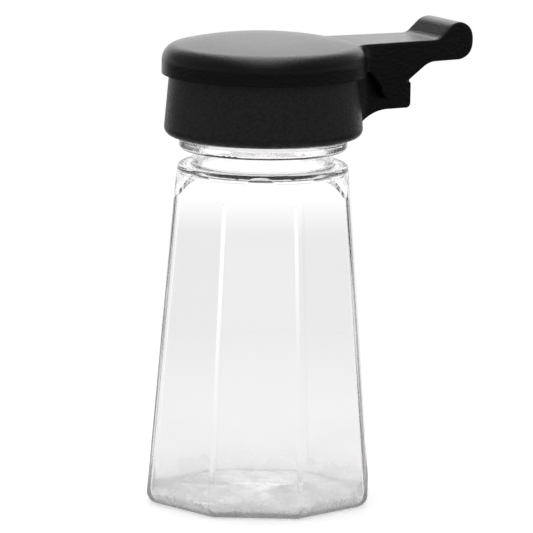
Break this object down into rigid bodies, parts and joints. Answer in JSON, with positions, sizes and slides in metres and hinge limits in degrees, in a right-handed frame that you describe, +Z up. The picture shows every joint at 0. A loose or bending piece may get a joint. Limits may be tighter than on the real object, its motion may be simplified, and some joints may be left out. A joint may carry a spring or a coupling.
{
  "type": "salt shaker",
  "caption": "Clear faceted table shaker with a black screw cap, a sifter deck and a hinged flip lid that a thumb lever lifts.",
  "frame": {"origin": "centre of the jar's flat base, on the axis that the jar, its neck and the screw cap share", "axes": "+Z up along the jar's axis; +X towards the lid's hinge and thumb lever; +Y along the hinge pin"},
  "size_m": [0.0787, 0.0534, 0.1076],
  "materials": {
    "clear_plastic": "clear, polished moulding",
    "black_plastic": "satin moulding, fine grain",
    "white_liner": "foamed liner board, matt",
    "steel_pin": "drawn wire, plain",
    "soft_seal": "soft moulded silicone, matt"
  },
  "bodies": {
    "jar": {"jar": "clear_plastic"},
    "liner": {"cap_liner": "white_liner"},
    "cap": {"screw_cap": "black_plastic"},
    "lid": {"flip_lid": "black_plastic", "hinge_pin": "steel_pin", "lid_seal": "soft_seal"}
  },
  "joints": [
    {"name": "cap_lift", "type": "slide", "parent": "jar", "child": "liner", "axis": [0, 0, 1], "range_m": [0, 0.00952]},
    {"name": "cap_turn", "type": "hinge", "parent": "liner", "child": "cap", "pos_m": [0, 0, 0.0969], "axis": [0, 0, 1], "range_deg": [0, 810]},
    {"name": "lid_hinge", "type": "hinge", "parent": "cap", "child": "lid", "pos_m": [0.0296, 0, 0.0944], "axis": [0, 1, 0], "range_deg": [0, 95]}
  ],
  "couplings": [
    {"joint": "cap_lift", "follows": "cap_turn", "m_per_rad": 0.00067323}
  ]
}
